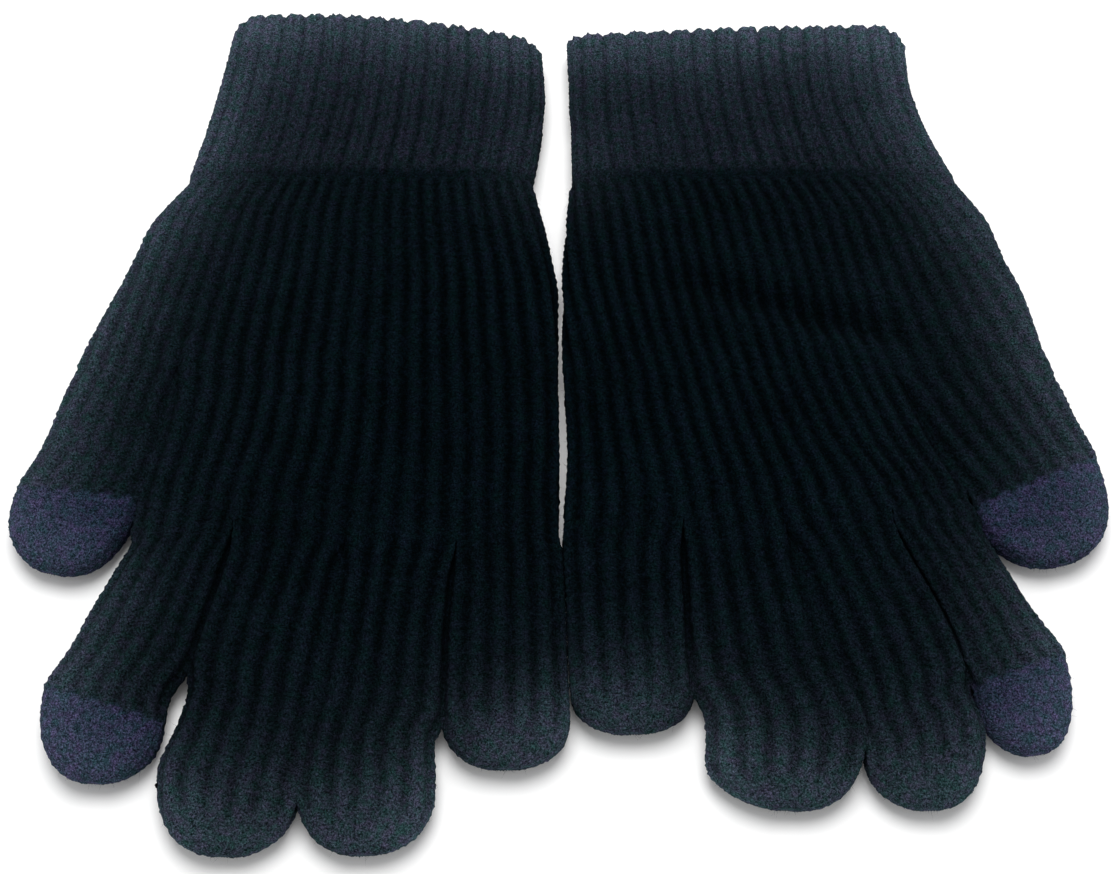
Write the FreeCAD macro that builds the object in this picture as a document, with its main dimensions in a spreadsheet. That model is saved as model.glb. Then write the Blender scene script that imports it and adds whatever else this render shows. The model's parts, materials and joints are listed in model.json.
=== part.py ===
import FreeCAD, Part
import os
import Sketcher
from FreeCAD import Placement, Rotation, Vector

# A pair of knitted touchscreen gloves lying flat, palms up, thumbs outward.
# X runs across the pair, +Y towards the cuffs, +Z up from the surface they lie on.
# Every tube of the knit is a flattened tube: a section with round sides and flat faces.
# A station is one such section: how far along Y it lies, and the X of its two sides,
# measured from the line where the two gloves meet.

SHARED = {
    "glove_thick": 10.4,        # both layers of knit and the air between them
    "knit_wall": 2.2,           # one layer of rib knit
    "half_gap": 0.4,            # half of the gap between the two gloves
    "pair_forward": 0.0,        # moves the whole pair along Y
    "joint_gap": 0.3,           # room between two tubes that bend against each other
    "tip_round_a": 0.45,        # where along a tip its rounding begins
    "tip_round_b": 0.80,        # where along a tip it has narrowed clearly
    "tip_wide_a": 0.90,         # width there, as a share of the width at the cap line
    "tip_wide_b": 0.72,
    "tip_wide_end": 0.34,
    "tip_thick_b": 0.86,        # thickness there, as a share of the full thickness
    "tip_thick_end": 0.50,
    "welt_long": 2.2,           # the cast-on edge of the cuff
    "welt_round": 0.3,          # how far the edge draws in at its two rims
    "elastic_wide": 0.8,        # one elastic yarn, measured along the cuff
    "elastic_deep": 0.6,        # one elastic yarn, measured through the knit
    "elastic_room": 0.02,       # clearance round an elastic yarn in its groove
    "knot_radius": 1.0,         # a darned-in yarn end
    "knot_sink": 0.5,           # how deep the knot sits in the knit
    "rest_deep": 0.05,          # how much the back of each hand is pressed flat where it lies
    "rest_wide": 50.0,          # the pressed area, across the hand
    "rest_long": 40.0,          # the pressed area, along the hand
}

ELASTIC_ROWS = 7

GLOVES = {
    "left": {
        "palm": [
            (57.5, -91.0, -6.4),
            (44.0, -92.0, -3.4),
            (28.0, -90.0, -0.6),
            (6.0, -87.6, 0.0),
            (-15.0, -90.4, 0.2),
            (-36.0, -94.4, 0.2),
        ],
        "thumb_root": [
            (57.5, -90.8, -55.0),
            (46.0, -99.3, -60.0),
            (30.0, -105.0, -66.0),
            (6.0, -113.0, -88.4),
        ],
        "cuff_mouth": (101.0, -84.2, -4.0, -5.8),
        "rest": (16.0, -45.0),
        "fingers": {
            "thumb": [(6.0, -113.0, -88.4), (-16.0, -118.8, -91.7), (-27.0, -122.6, -94.0), (-44.6, -110.5)],
            "index": [(-36.0, -94.4, -72.6), (-58.0, -104.2, -78.1), (-75.5, -110.6, -82.4), (-92.6, -96.5)],
            "middle": [(-36.0, -71.2, -47.3), (-62.0, -77.3, -50.4), (-91.0, -83.6, -54.2), (-107.3, -69.0)],
            "ring": [(-36.0, -46.7, -22.7), (-62.0, -49.8, -24.9), (-91.0, -53.6, -25.9), (-107.3, -40.6)],
            "little": [(-36.0, -22.1, 0.2), (-58.0, -24.0, 1.0), (-78.0, -23.0, 1.6), (-89.6, -10.9)],
        },
        "knots": {"middle": (-92.6, -83.6), "ring": (-92.6, -25.9)},
    },
    "right": {
        "palm": [
            (57.5, 2.6, 97.0),
            (44.0, 1.2, 96.0),
            (28.0, 0.3, 88.0),
            (4.0, 0.4, 75.4),
            (-15.0, 1.4, 83.4),
            (-33.0, 0.4, 93.2),
        ],
        "thumb_root": [
            (57.5, 58.0, 96.8),
            (46.0, 60.0, 104.2),
            (30.0, 64.0, 109.4),
            (4.0, 76.2, 115.6),
        ],
        "cuff_mouth": (100.4, 1.4, 88.0, 2.2),
        "rest": (16.0, 38.0),
        "fingers": {
            "thumb": [(4.0, 77.8, 115.6), (-17.0, 87.6, 121.2), (-24.0, 91.2, 122.6), (-44.6, 110.1)],
            "index": [(-33.0, 74.4, 93.2), (-53.0, 83.7, 103.0), (-68.0, 89.6, 109.8), (-86.6, 100.4)],
            "middle": [(-33.0, 50.4, 72.1), (-57.0, 57.2, 82.5), (-82.0, 64.6, 90.2), (-98.6, 77.0)],
            "ring": [(-33.0, 27.2, 48.8), (-57.0, 27.4, 55.2), (-82.0, 30.2, 62.6), (-98.6, 46.8)],
            "little": [(-33.0, 0.4, 26.5), (-54.0, 1.8, 26.7), (-72.0, 2.0, 26.6), (-83.6, 14.4)],
        },
        "knots": {},
    },
}

SEAM_SIDE = {"left": -1, "right": 1}        # which way each glove lies from the line X = 0

doc = FreeCAD.newDocument("touchscreen_gloves")
sheet = doc.addObject("Spreadsheet::Sheet", "Dimensions")
pieces = []
next_row = [1]


def add_cell(alias, value):
    """Writes one driving dimension, with its alias, on the next row of the sheet."""
    row = next_row[0]
    sheet.set(f"A{row}", alias)
    sheet.set(f"B{row}", str(value))
    sheet.setAlias(f"B{row}", alias)
    next_row[0] = row + 1


def add_station(name, station):
    """Writes a section's place along Y and the X of its two sides."""
    for part, value in zip(("along", "from", "to"), station):
        add_cell(f"{name}_{part}", value)


def fill_sheet():
    for alias, value in SHARED.items():
        add_cell(alias, value)
    for side, glove in GLOVES.items():
        for number, station in enumerate(glove["palm"]):
            add_station(f"{side}_palm_{number}", station)
        for number, station in enumerate(glove["thumb_root"]):
            add_station(f"{side}_root_{number}", station)
        add_station(f"{side}_mouth", glove["cuff_mouth"][:3])
        add_cell(f"{side}_mouth_turn", glove["cuff_mouth"][3])
        for finger, stations in glove["fingers"].items():
            for part, station in zip(("base", "bend", "cap"), stations):
                add_station(f"{side}_{finger}_{part}", station)
            for part, value in zip(("along", "middle"), stations[3]):
                add_cell(f"{side}_{finger}_end_{part}", value)
        for part, value in zip(("along", "across"), glove["rest"]):
            add_cell(f"{side}_rest_{part}", value)
    doc.recompute()


def value_of(expression):
    """The number that an expression of the sheet's aliases gives."""
    return float(sheet.evalExpression(expression.replace("Dimensions.", "")))


def cell(alias):
    return f"Dimensions.{alias}"


class Section:
    """A flattened section given by expressions: its centre, its size and its turn about Z."""

    def __init__(self, along, low, high, inset="0", turn="0", thick="Dimensions.glove_thick"):
        self.along = along
        self.centre = f"({low} + {high}) / 2"
        self.width = f"({high} - {low}) - 2 * ({inset})"
        self.height = f"({thick}) - 2 * ({inset})"
        self.turn = turn

    @classmethod
    def at(cls, name, inset="0", shift="0", turn="0"):
        """The section of a station that the sheet names."""
        along = f"{cell(name + '_along')} + ({shift})"
        return cls(along, cell(name + "_from"), cell(name + "_to"), inset, turn)


def draw_outline(sketch, width, height, width_rule, height_rule):
    """Draws a slot outline about the sketch's centre and binds its size to the sheet."""
    radius = height / 2
    straight = width / 2 - radius
    first = sketch.GeometryCount
    top = Part.LineSegment(Vector(-straight, radius, 0), Vector(straight, radius, 0))
    foot = Part.LineSegment(Vector(-straight, -radius, 0), Vector(straight, -radius, 0))
    sketch.addGeometry(top)
    sketch.addGeometry(foot)
    ends = []
    for sign in (-1, 1):
        middle = Vector(sign * (straight + radius), 0, 0)
        start = Vector(sign * straight, radius, 0)
        finish = Vector(sign * straight, -radius, 0)
        ends.append(sketch.addGeometry(Part.Arc(start, middle, finish)))
    line_a, line_b = first, first + 1
    corners = [(line_a, 1, line_b, 1, ends[0]), (line_a, 2, line_b, 2, ends[1])]
    for upper, upper_end, lower, lower_end, arc in corners:
        near = sketch.getPoint(arc, 1)
        upper_first = near.distanceToPoint(sketch.getPoint(upper, upper_end)) < 1e-6
        arc_top, arc_foot = (1, 2) if upper_first else (2, 1)
        sketch.addConstraint(Sketcher.Constraint("Tangent", upper, upper_end, arc, arc_top))
        sketch.addConstraint(Sketcher.Constraint("Tangent", lower, lower_end, arc, arc_foot))
    sketch.addConstraint(Sketcher.Constraint("Horizontal", line_a))
    sketch.addConstraint(Sketcher.Constraint("Symmetric", line_a, 1, line_b, 2, -1, 1))
    length = sketch.addConstraint(Sketcher.Constraint("DistanceX", line_a, 1, line_a, 2, 2 * straight))
    rise = sketch.addConstraint(Sketcher.Constraint("DistanceY", line_b, 1, line_a, 1, height))
    sketch.setExpression(f"Constraints[{length}]", f"({width_rule}) - ({height_rule})")
    sketch.setExpression(f"Constraints[{rise}]", height_rule)


def add_sketch(body, name, section, second=None):
    """A sketch across the glove at a section, with a second outline inside it if asked."""
    sketch = body.newObject("Sketcher::SketchObject", name)
    upright = [f for f in body.Origin.OriginFeatures if f.Role == "XZ_Plane"][0]
    sketch.AttachmentSupport = [(upright, "")]
    sketch.MapMode = "FlatFace"
    sketch.AttachmentOffset = Placement(Vector(), Rotation(Vector(0, 1, 0), value_of(section.turn)))
    sketch.setExpression(".AttachmentOffset.Base.x", section.centre)
    sketch.setExpression(".AttachmentOffset.Base.y", f"{cell('glove_thick')} / 2")
    sketch.setExpression(".AttachmentOffset.Base.z", f"-({section.along})")
    for outline in (section, second):
        if outline:
            width, height = value_of(outline.width), value_of(outline.height)
            draw_outline(sketch, width, height, outline.width, outline.height)
    return sketch


def new_body(side, label):
    """A body of its own for one sub-part, placed with the rest of its glove."""
    body = doc.addObject("PartDesign::Body", f"{side}_{label}")
    body.Label = f"{side}_{label}"
    body.setExpression(".Placement.Base.x", f"{SEAM_SIDE[side]} * {cell('half_gap')}")
    body.setExpression(".Placement.Base.y", cell("pair_forward"))
    pieces.append(body)
    return body


def add_loft(body, kind, name, sections):
    """Lofts a body's solid, or a hollow in it, straight from section to section."""
    sketches = [add_sketch(body, f"{body.Name}_{name}_{n}", s) for n, s in enumerate(sections)]
    loft = body.newObject(f"PartDesign::{kind}Loft", f"{body.Name}_{name}")
    loft.Profile = sketches[0]
    loft.Sections = sketches[1:]
    loft.Ruled = True
    doc.recompute()
    return loft


def make_tube(side, label, start, finish):
    """One open tube between two stations, each given as (name, shift along Y)."""
    body = new_body(side, label)
    outer = [Section.at(name, "0", shift) for name, shift in (start, finish)]
    inner = [Section.at(name, cell("knit_wall"), shift) for name, shift in (start, finish)]
    add_loft(body, "Additive", "skin", outer)
    add_loft(body, "Subtractive", "hollow", inner)


def make_tip(side, label, station, end):
    """A closed, rounded fingertip from its cap line to its end."""
    body = new_body(side, label)
    along, low, high = (cell(f"{station}_{part}") for part in ("along", "from", "to"))
    half = f"(({high}) - ({low})) / 2"
    middle = f"(({high}) + ({low})) / 2"
    reach = f"({cell(end + '_along')} - {along})"
    lean = f"({cell(end + '_middle')} - {middle})"

    def narrowed(share_along, share_wide, share_thick, inset):
        centre = f"({middle} + {lean} * ({share_along}))"
        low_side = f"({centre} - {half} * ({share_wide}))"
        high_side = f"({centre} + {half} * ({share_wide}))"
        thick = f"{cell('glove_thick')} * ({share_thick})"
        place = f"{along} + {reach} * ({share_along})"
        return Section(place, low_side, high_side, inset, "0", thick)

    wall = cell("knit_wall")
    skin = [
        narrowed("0", "1", "1", "0"),
        narrowed(cell("tip_round_a"), cell("tip_wide_a"), "1", "0"),
        narrowed(cell("tip_round_b"), cell("tip_wide_b"), cell("tip_thick_b"), "0"),
        narrowed("1", cell("tip_wide_end"), cell("tip_thick_end"), "0"),
    ]
    hollow = [
        narrowed("0", "1", "1", wall),
        narrowed(cell("tip_round_a"), cell("tip_wide_a"), "1", wall),
        narrowed(cell("tip_round_b"), cell("tip_wide_b"), cell("tip_thick_b"), wall),
    ]
    add_loft(body, "Additive", "skin", skin)
    add_loft(body, "Subtractive", "hollow", hollow)


def make_hand(side):
    """The palm tube with the root of the thumb, from the wrist to the base knuckles."""
    body = new_body(side, "hand")
    palm = [f"{side}_palm_{n}" for n in range(len(GLOVES[side]["palm"]))]
    root = [f"{side}_root_{n}" for n in range(len(GLOVES[side]["thumb_root"]))]
    wall = cell("knit_wall")
    add_loft(body, "Additive", "palm_skin", [Section.at(name) for name in palm])
    add_loft(body, "Additive", "thumb_skin", [Section.at(name) for name in root])
    add_loft(body, "Subtractive", "palm_hollow", [Section.at(name, wall) for name in palm])
    add_loft(body, "Subtractive", "thumb_hollow", [Section.at(name, wall) for name in root])
    press_flat(body, side)


def press_flat(body, side):
    """Presses the back of the hand flat over a rectangle: the face that the glove lies on."""
    before = body.Tip.Shape.Volume
    sketch = body.newObject("Sketcher::SketchObject", f"{body.Name}_rest_outline")
    ground = [f for f in body.Origin.OriginFeatures if f.Role == "XY_Plane"][0]
    sketch.AttachmentSupport = [(ground, "")]
    sketch.MapMode = "FlatFace"
    sketch.setExpression(".AttachmentOffset.Base.x", cell(f"{side}_rest_across"))
    sketch.setExpression(".AttachmentOffset.Base.y", cell(f"{side}_rest_along"))
    half_wide, half_long = value_of(cell("rest_wide")) / 2, value_of(cell("rest_long")) / 2
    corners = [Vector(x * half_wide, y * half_long, 0) for x, y in ((-1, -1), (1, -1), (1, 1), (-1, 1))]
    for first, second in zip(corners, corners[1:] + corners[:1]):
        sketch.addGeometry(Part.LineSegment(first, second))
    for line in range(4):
        sketch.addConstraint(Sketcher.Constraint("Coincident", line, 2, (line + 1) % 4, 1))
        sketch.addConstraint(Sketcher.Constraint("Vertical" if line % 2 else "Horizontal", line))
    sketch.addConstraint(Sketcher.Constraint("Symmetric", 0, 1, 1, 2, -1, 1))
    across = sketch.addConstraint(Sketcher.Constraint("DistanceX", 0, 1, 0, 2, 2 * half_wide))
    along = sketch.addConstraint(Sketcher.Constraint("DistanceY", 1, 1, 1, 2, 2 * half_long))
    sketch.setExpression(f"Constraints[{across}]", cell("rest_wide"))
    sketch.setExpression(f"Constraints[{along}]", cell("rest_long"))
    pressed = body.newObject("PartDesign::Pocket", f"{body.Name}_rest")
    pressed.Profile = sketch
    pressed.Reversed = True
    pressed.setExpression("Length", cell("rest_deep"))
    doc.recompute()
    if pressed.Shape.Volume > before - 1.0:
        raise RuntimeError(f"{pressed.Name} presses nothing flat")


def cuff_section(side, share, inset="0", beyond="0"):
    """A section of the cuff, from the wrist (share 0) to its mouth (share 1) and beyond."""
    wrist, mouth = f"{side}_palm_0", f"{side}_mouth"
    values = []
    for part in ("along", "from", "to"):
        first, last = cell(f"{wrist}_{part}"), cell(f"{mouth}_{part}")
        if part == "along":
            first = f"({first} + {cell('joint_gap')})"
        values.append(f"({first} * (1 - {share}) + {last} * {share})")
    along, low, high = values
    turn = f"{cell(side + '_mouth_turn')} * {share}"
    return Section(f"{along} + ({beyond})", low, high, inset, turn)


def elastic_shares():
    """Where the elastic yarns lie, as shares of the cuff's length."""
    return [round((row + 1) / (ELASTIC_ROWS + 1), 4) for row in range(ELASTIC_ROWS)]


def make_cuff(side):
    """The cuff tube, with a groove inside it for each elastic yarn."""
    body = new_body(side, "cuff")
    add_loft(body, "Additive", "skin", [cuff_section(side, share) for share in (0, 1)])
    wall = cell("knit_wall")
    add_loft(body, "Subtractive", "hollow", [cuff_section(side, s, wall) for s in (0, 1)])
    depth = f"{wall} - {cell('elastic_deep')} - {cell('elastic_room')}"
    for number, share in enumerate(elastic_shares()):
        before = body.Tip.Shape.Volume
        sketch = add_sketch(body, f"{body.Name}_groove_line_{number}", cuff_section(side, share, depth))
        groove = body.newObject("PartDesign::Pocket", f"{body.Name}_groove_{number}")
        groove.Profile = sketch
        groove.Midplane = True
        groove.setExpression("Length", f"{cell('elastic_wide')} + 2 * {cell('elastic_room')}")
        doc.recompute()
        if groove.Shape.Volume > before - 1.0:
            raise RuntimeError(f"{groove.Name} cuts nothing")


def make_elastic(side):
    """The elastic yarns of one cuff: flat rings, one in each groove."""
    body = new_body(side, "cuff_elastic")
    body.AllowCompound = True
    wall = cell("knit_wall")
    for number, share in enumerate(elastic_shares()):
        outer = cuff_section(side, share, f"{wall} - {cell('elastic_deep')}")
        inner = cuff_section(side, share, wall)
        sketch = add_sketch(body, f"{body.Name}_line_{number}", outer, inner)
        ring = body.newObject("PartDesign::Pad", f"{body.Name}_ring_{number}")
        ring.Profile = sketch
        ring.Midplane = True
        ring.setExpression("Length", cell("elastic_wide"))
        doc.recompute()


def make_welt(side):
    """The rounded cast-on edge round the cuff's mouth."""
    body = new_body(side, "cuff_edge")
    wall = cell("knit_wall")
    rim = cell("welt_round")
    stages = [("0", rim), (f"{cell('welt_long')} / 2", "0"), (cell("welt_long"), rim)]
    outer = [cuff_section(side, 1, drawn_in, beyond) for beyond, drawn_in in stages]
    inner = [cuff_section(side, 1, wall, beyond) for beyond, _ in stages]
    add_loft(body, "Additive", "skin", outer)
    add_loft(body, "Subtractive", "hollow", inner)


def make_knot(side, finger, along, edge):
    """A yarn end darned into the side of a finger: a small knot with its tail."""
    outward = -1 if edge < sum(GLOVES[side]["fingers"][finger][2][1:]) / 2 else 1
    name = f"{side}_{finger}_yarn_end"
    knot = doc.addObject("Part::Sphere", f"{name}_knot")
    tail = doc.addObject("Part::Cylinder", f"{name}_tail")
    place_x = f"{edge} + {outward} * ({cell('knot_radius')} - {cell('knot_sink')})"
    place_x = f"{place_x} + {SEAM_SIDE[side]} * {cell('half_gap')}"
    knot.setExpression("Radius", cell("knot_radius"))
    tail.setExpression("Radius", f"{cell('knot_radius')} / 2")
    tail.setExpression("Height", f"{cell('knot_radius')} * 2")
    for piece in (knot, tail):
        piece.Placement = Placement(Vector(), Rotation(Vector(0, 1, 0), 90 * outward))
        piece.setExpression(".Placement.Base.x", place_x)
        piece.setExpression(".Placement.Base.y", f"{along} + {cell('pair_forward')}")
        piece.setExpression(".Placement.Base.z", f"{cell('glove_thick')} / 2")
    both = doc.addObject("Part::Fuse", name)
    both.Base = knot
    both.Tool = tail
    both.Label = name
    pieces.append(both)


def make_glove(side):
    glove = GLOVES[side]
    gap = cell("joint_gap")
    make_hand(side)
    make_cuff(side)
    make_welt(side)
    make_elastic(side)
    for finger in glove["fingers"]:
        base, bend, cap = (f"{side}_{finger}_{part}" for part in ("base", "bend", "cap"))
        make_tube(side, f"{finger}_lower", (base, f"-{gap}"), (bend, "0"))
        make_tube(side, f"{finger}_upper", (bend, f"-{gap}"), (cap, "0"))
        make_tip(side, f"{finger}_tip", cap, f"{side}_{finger}_end")
    for finger, (along, edge) in glove["knots"].items():
        make_knot(side, finger, along, edge)


def check_model():
    """Stops with a message if an object failed or a sub-part's shape isn't sound."""
    for thing in doc.Objects:
        if "Invalid" in thing.State or "Error" in thing.State:
            raise RuntimeError(f"{thing.Label} failed: {thing.State}")
    for piece in pieces:
        if piece.Shape.isNull() or not piece.Shape.isValid() or not piece.Shape.Solids:
            raise RuntimeError(f"{piece.Label} has no sound solid")


def write_parts():
    os.makedirs("parts", exist_ok=True)
    for piece in pieces:
        piece.Shape.exportStep(os.path.join("parts", f"{piece.Label}.step"))


fill_sheet()
for glove_side in GLOVES:
    make_glove(glove_side)
doc.recompute()
check_model()
write_parts()
whole = Part.makeCompound([piece.Shape for piece in pieces]).BoundBox
print(f"{len(pieces)} sub-parts, box {whole}")
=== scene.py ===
import json
import math
import bpy
import numpy as np
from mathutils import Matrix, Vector

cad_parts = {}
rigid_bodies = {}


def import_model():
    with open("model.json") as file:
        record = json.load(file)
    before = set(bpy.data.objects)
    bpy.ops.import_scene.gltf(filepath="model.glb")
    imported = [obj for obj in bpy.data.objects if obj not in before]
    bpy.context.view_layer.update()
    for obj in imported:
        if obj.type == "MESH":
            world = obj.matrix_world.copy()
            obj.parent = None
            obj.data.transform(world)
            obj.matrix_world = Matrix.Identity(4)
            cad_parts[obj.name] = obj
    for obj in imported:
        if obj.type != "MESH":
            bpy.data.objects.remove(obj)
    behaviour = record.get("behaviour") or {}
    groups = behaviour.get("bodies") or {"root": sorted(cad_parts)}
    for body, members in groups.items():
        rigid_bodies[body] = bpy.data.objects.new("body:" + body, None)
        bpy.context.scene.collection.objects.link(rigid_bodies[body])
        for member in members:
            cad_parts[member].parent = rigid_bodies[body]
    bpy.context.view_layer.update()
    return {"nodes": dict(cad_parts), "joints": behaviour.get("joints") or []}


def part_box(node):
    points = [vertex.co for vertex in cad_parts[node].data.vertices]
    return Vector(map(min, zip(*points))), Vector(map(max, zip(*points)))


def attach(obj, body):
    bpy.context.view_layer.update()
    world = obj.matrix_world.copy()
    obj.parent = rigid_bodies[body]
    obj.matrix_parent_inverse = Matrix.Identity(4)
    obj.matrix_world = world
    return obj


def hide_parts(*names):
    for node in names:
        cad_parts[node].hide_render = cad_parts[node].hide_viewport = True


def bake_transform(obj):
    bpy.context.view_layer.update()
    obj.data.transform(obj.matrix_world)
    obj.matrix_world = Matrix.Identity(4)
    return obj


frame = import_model()

# A pair of knitted gloves lying flat, palms up. Lengths here are in millimetres until a mesh is made.
# Both gloves are worked out with the thumb on the low side of X; the right one is mirrored at the end.
# The surface of each glove is a set of grids: a column runs down a wale, a row runs round a course.

MM = 0.001
SIDES = {"left": 1, "right": -1}            # the sign that turns a glove's X into "thumb on the low side"
LONG_FINGERS = ("index", "middle", "ring", "little")

TOUCH_FINGERS = ("thumb", "index")          # their tips are knitted in conductive yarn

COURSE = 2.15                               # height of one row of stitches
ROWS_PER_COURSE = 4                         # mesh rows in it
RIB_COLUMNS = 10                            # mesh columns in one rib repeat of the hand
CUFF_COLUMNS = 12                           # mesh columns in one two-by-one repeat of the cuff
CUFF_REPEATS = 32
FINGER_RIBS = 4.5                             # repeats across one face of a finger
THUMB_RIBS = {"left": 5, "right": 6}
PALM_RIBS = int(FINGER_RIBS * len(LONG_FINGERS))
# How far round the hand's ring the wales start at the wrist, as a share of one face: the tube lies twisted.
TWIST = {"left": -0.05, "right": 0.10}
SIDE_RIBS = 1                               # repeats on half of a folded side

FLOOR_LIFT = 0.85                           # the base surface stands this far off the floor
HAND_THICK = 8.2                            # base surface to base surface
CUFF_THICK = 7.6
CROWN = 0.7                                 # how much a face swells in its middle
WALL = 2.0                                  # thickness of the knit
RIB_HIGH = 0.52                             # crest of a rib above the base surface
CUFF_RIB_HIGH = 0.55
STITCH_HIGH = 0.1
PLAIN_HIGH = 0.1
WANDER = 0.035                              # how far a rib strays sideways, in repeats
GRAIN = 0.08                                # roughness of the brushed surface
START_BLEND = 9.0                           # how far a finger takes to get its own round section
RIGHT_THUMB_BLEND = 26.0                    # the right thumb lies against the palm for longer
JOINT_GAP = 0.3                             # between two CAD tubes that bend against each other
CUFF_BOW = {"left": (-0.9, 1.5), "right": (-2.9, -0.1)}  # how far the cuff's sides swell, thumb side first
MOUTH_BOW = {"left": 3.0, "right": 0.2}     # how far the middle of the mouth's edge stands out
CORNER_WIDE = 7.0                           # the rounded corners of the mouth
CORNER_DROP = {"left": (4.4, 2.2), "right": (5.0, 0.6)}  # thumb side first
SEAM_FADE = 1.3                             # the relief dies out this close to the wrist
TIP_FADE = 3.0                              # and this close to a closed end
TIP_END_THICK = 0.08                        # thickness left at a closed end, as a share
SWELL = 0.25                                # soft unevenness of the upper layer
FOLD_START, FOLD_END = (31.0, 27.5), (80.0, 12.5)   # the valley across the right palm
FOLD_DEEP = 2.0
FOLD_SHADE = 0.22                           # how much a fold's height is added to the relief that sets the yarn's colour: painted shade in its valley, painted light on its ridges
BEND_LONG = 12.0                            # length of knit beside a joint, used in placing the cuts and in picking which tips are attached
TIP_SQUARE = 2.3                            # 2 is an ellipse, more is squarer
SPREAD = -1.0                               # the knit stands this far outside a finger's free sides
LITTLE_SPREAD = 0.7                         # the little fingers' outer sides, which nearly meet
TOUCH = 0.7                                # and this far past the middle of the gap to its neighbour
HAND_IN = 1.0                               # the hand's outer side stands this far inside the CAD side
START_FADE = 4.3                            # how far a parent's relief runs on into a finger
ELASTIC_RINGS = 7
ELASTIC_SIDES = 6
ELASTIC_THICK = 0.5
KNOT_POINTS, KNOT_SIDES = 60, 8
KNOT_YARN = 0.7
KNOT_SHARE = 0.8
KNOT_IN = 1.6                               # the knot sits this much closer to the finger than in the CAD
WELT_LONG = 2.2
TONE_LONG = 3.0                             # over which the cuff's colour turns into the palm's
WELT_ROWS = 8
INNER_STEP = 8                              # mesh rows of the surface to one row of the lining
CUFF_INNER_STEP = 2

CAMERA_ELEVATION = 64.0
CAMERA_AWAY = 400.0
CAMERA_AIM = -9.0                           # the Y of the point it looks at
CAMERA_LENS = 55.3

OPEN_CELL = 1.5
OPEN_MARGIN = 30.0
OPEN_REACHES = ((10.5, 0.92), (30.0, 0.14))  # widths of the bells, and their weights

FLANK_FIBRES, TOP_FIBRES = 4.0, 0.5          # loose fibres for each 100 mesh points
FIBRE_THIN = 0.028
FIBRE_LONG = (0.5, 1.7)
FIBRE_POINTS = 4

# How far each crotch between two fingers lies past the line of the knuckles, towards the fingertips.
CROTCH_DEPTH = {"left": (-2.7, 2.2, 2.7), "right": (-1.8, 2.0, 0.1)}
# How far the line where a fingertip's yarn begins leans, in degrees; up on the thumb's side is positive.
CAP_LEAN = {
    "left": {"thumb": 6.6, "index": 15.3, "middle": 8.0, "ring": 8.0, "little": 0.0},
    "right": {"thumb": 21.8, "index": 20.0, "middle": 14.0, "ring": 10.0, "little": 3.0},
}
# Where a finger stands apart from the next one, from this Y to the fingertips.
APART_FROM = {("left", "index", "middle"): -64.0}
APART_LONG = 10.0
# How far each fingertip's low and high side move outwards, its end towards the high side, and how much it
# is shortened, all against the CAD's.
TIP_FIT = {
    "left": {"thumb": (1.0, 0.0, -1.6, 0.0), "index": (1.5, -0.2, -0.8, 0.9), "middle": (1.2, 0.5, -0.4, 0.4),
             "ring": (0.9, 0.9, 0.2, 0.6), "little": (0.0, 0.3, 0.0, 0.9)},
    "right": {"thumb": (1.2, 0.0, -0.6, 1.9), "index": (1.4, 2.2, 0.9, 0.9), "middle": (0.9, 1.2, 0.4, 1.3),
              "ring": (1.2, 0.4, 0.2, 1.3), "little": (0.0, -0.4, -0.8, 2.6)},
}
TIP_FIT_LONG = 12.0
# Where plain knit takes over from rib: a length before each closed end, and how softly.
PLAIN_LONG, PLAIN_SOFT = 16.0, 7.0

rng = np.random.default_rng(20)


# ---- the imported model's outlines -------------------------------------------------------------

def node_wires(node):
    """A CAD node's points, in millimetres, and its edges."""
    mesh = frame["nodes"][node].data
    points = np.empty(len(mesh.vertices) * 3)
    mesh.vertices.foreach_get("co", points)
    edges = np.empty(len(mesh.edges) * 2, dtype=np.int64)
    mesh.edges.foreach_get("vertices", edges)
    return points.reshape(-1, 3) / MM, edges.reshape(-1, 2)


def outline(nodes, sign, samples=40):
    """The two sides of the nodes seen from above: places along Y, and the X of the low and the high side."""
    along, low, high = [], [], []
    for node in nodes:
        points, edges = node_wires(node)
        x, y = points[:, 0] * sign, points[:, 1]
        first, second = edges[:, 0], edges[:, 1]
        inset = 0.06
        for place in np.linspace(y.min() + inset, y.max() - inset, samples):
            crossing = (y[first] - place) * (y[second] - place) < 0
            a, b = first[crossing], second[crossing]
            share = (place - y[a]) / (y[b] - y[a])
            cut = x[a] + (x[b] - x[a]) * share
            if len(cut):
                along.append(place)
                low.append(cut.min())
                high.append(cut.max())
    order = np.argsort(along)
    return np.array(along)[order], np.array(low)[order], np.array(high)[order]


def softened(along, across, reach=3.0):
    """A side's line with its corners rounded off: a function from Y to X."""
    fine = np.arange(along[0], along[-1] + 0.5, 0.5)
    line = np.interp(fine, along, across)
    steps = int(reach / 0.5)
    kernel = np.hanning(2 * steps + 3)
    kernel /= kernel.sum()
    slope_a, slope_b = line[1] - line[0], line[-1] - line[-2]
    pad = np.arange(1, steps + 2)
    before = line[0] - slope_a * pad[::-1]
    after = line[-1] + slope_b * pad
    smooth = np.convolve(np.concatenate([before, line, after]), kernel, "valid")
    return lambda places: np.interp(places, fine, smooth)


def smooth_step(value):
    value = np.clip(value, 0, 1)
    return value * value * (3 - 2 * value)


# ---- sections --------------------------------------------------------------------------------

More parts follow.
